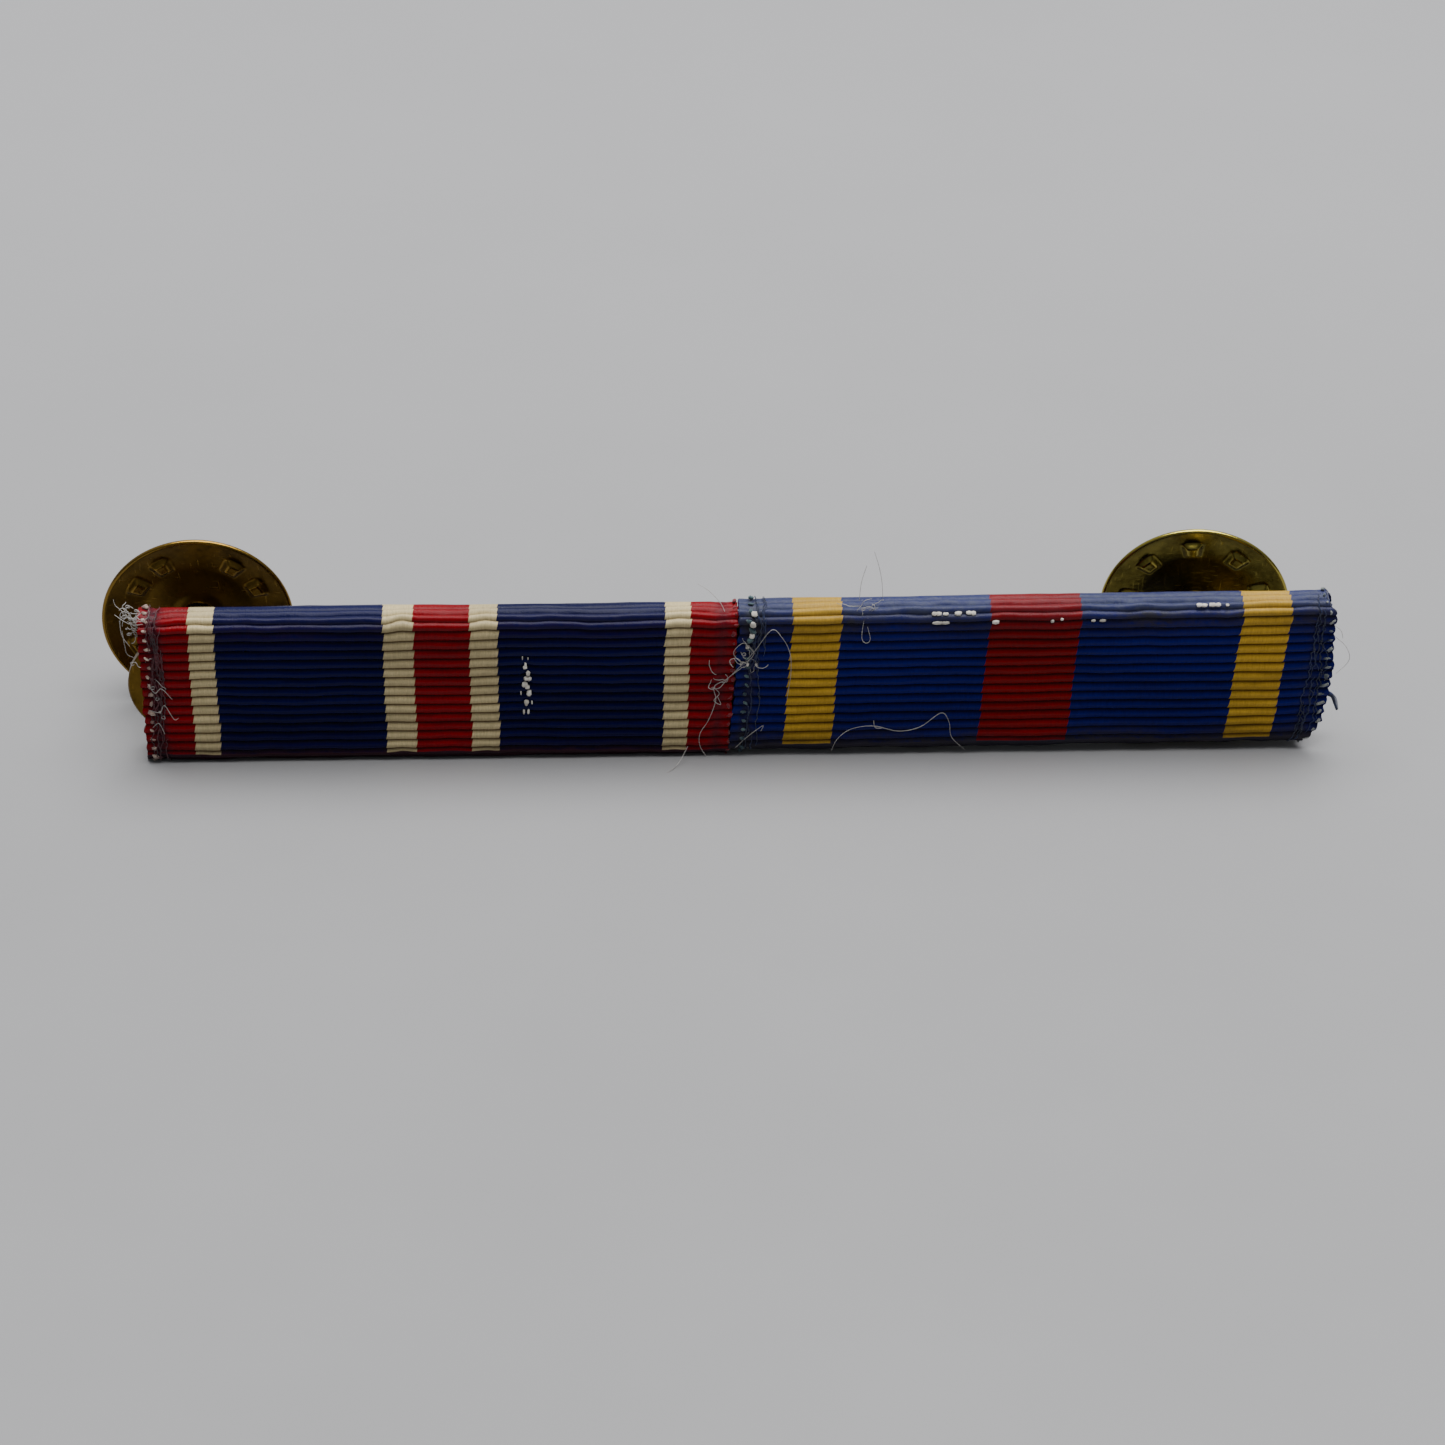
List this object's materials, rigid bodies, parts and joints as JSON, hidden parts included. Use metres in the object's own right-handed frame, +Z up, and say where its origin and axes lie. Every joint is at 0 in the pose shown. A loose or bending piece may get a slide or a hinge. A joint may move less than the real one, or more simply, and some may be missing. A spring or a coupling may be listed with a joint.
{
  "type": "service ribbon bar",
  "caption": "Woven service ribbons on brass carriers that slide on a brass rail, worn on a garment by pins at the back with butterfly clutches.",
  "frame": {"origin": "on the ground under the middle of the bounding box, with the bar standing on its lower edge and its clutch discs", "axes": "+X along the bar to the right as seen from the ribbon side, +Y to the back, away from the ribbon faces, +Z up"},
  "size_m": [0.0728, 0.0122, 0.0114],
  "materials": {
    "left_ribbon_cloth": "ribbed rayon ribbon, navy, cream and crimson stripes",
    "right_ribbon_cloth": "ribbed rayon ribbon, blue, yellow and red stripes, worn at the folds",
    "carrier_brass": "thin bright brass sheet, dulled",
    "rail_brass": "aged brass, brown patina",
    "pin_brass": "drawn brass wire, dulled",
    "left_clutch_brass": "dark brown aged brass, scratched",
    "right_clutch_brass": "dark olive aged brass",
    "spring_bronze": "spring bronze"
  },
  "bodies": {
    "mounting_bar": {"mount_rail": "rail_brass", "left_pin": "pin_brass", "right_pin": "pin_brass"},
    "left_ribbon_unit": {"left_carrier": "carrier_brass", "left_ribbon": "left_ribbon_cloth"},
    "right_ribbon_unit": {"right_carrier": "carrier_brass", "right_ribbon": "right_ribbon_cloth"},
    "left_clutch_grip": {"left_clutch_spring": "spring_bronze"},
    "left_clutch_shell": {"left_clutch_disc": "left_clutch_brass", "left_clutch_cover": "left_clutch_brass"},
    "left_clutch_wing_right": {"left_clutch_right_wing": "left_clutch_brass"},
    "left_clutch_wing_left": {"left_clutch_left_wing": "left_clutch_brass"},
    "right_clutch_grip": {"right_clutch_spring": "spring_bronze"},
    "right_clutch_shell": {"right_clutch_disc": "right_clutch_brass", "right_clutch_cover": "right_clutch_brass"},
    "right_clutch_wing_right": {"right_clutch_right_wing": "right_clutch_brass"},
    "right_clutch_wing_left": {"right_clutch_left_wing": "right_clutch_brass"}
  },
  "joints": [
    {"name": "left_ribbon_slide", "type": "slide", "parent": "mounting_bar", "child": "left_ribbon_unit", "axis": [-1, 0, 0], "range_m": [0, 0.036]},
    {"name": "right_ribbon_slide", "type": "slide", "parent": "mounting_bar", "child": "right_ribbon_unit", "axis": [1, 0, 0], "range_m": [0, 0.036]},
    {"name": "left_clutch_slide", "type": "slide", "parent": "mounting_bar", "child": "left_clutch_grip", "axis": [0, 0.995, 0.0995], "range_m": [-0.0049, 0.008]},
    {"name": "left_clutch_spin", "type": "hinge", "parent": "left_clutch_grip", "child": "left_clutch_shell", "pos_m": [-0.03072, 0.00401, 0.00592], "axis": [-0.0175, 0.9949, 0.0995], "continuous": true},
    {"name": "left_clutch_squeeze", "type": "slide", "parent": "left_clutch_shell", "child": "left_clutch_wing_right", "axis": [-0.9998, -0.0174, -0.0017], "range_m": [0, 0.0005], "stiffness_N_per_m": 200, "springref_m": -0.0004},
    {"name": "left_clutch_squeeze_left", "type": "slide", "parent": "left_clutch_shell", "child": "left_clutch_wing_left", "axis": [0.9998, 0.0174, 0.0017], "range_m": [0, 0.0005]},
    {"name": "right_clutch_slide", "type": "slide", "parent": "mounting_bar", "child": "right_clutch_grip", "axis": [0, 0.995, 0.0995], "range_m": [-0.0045, 0.008]},
    {"name": "right_clutch_spin", "type": "hinge", "parent": "right_clutch_grip", "child": "right_clutch_shell", "pos_m": [0.02968, 0.00401, 0.00592], "axis": [0.0819, 0.9917, 0.0992], "continuous": true},
    {"name": "right_clutch_squeeze", "type": "slide", "parent": "right_clutch_shell", "child": "right_clutch_wing_right", "axis": [-0.9966, 0.0815, 0.0082], "range_m": [0, 0.0005], "stiffness_N_per_m": 200, "springref_m": -0.0004},
    {"name": "right_clutch_squeeze_left", "type": "slide", "parent": "right_clutch_shell", "child": "right_clutch_wing_left", "axis": [0.9966, -0.0815, -0.0082], "range_m": [0, 0.0005]}
  ],
  "couplings": [
    {"joint": "left_clutch_squeeze_left", "follows": "left_clutch_squeeze", "ratio": 1},
    {"joint": "right_clutch_squeeze_left", "follows": "right_clutch_squeeze", "ratio": 1}
  ]
}
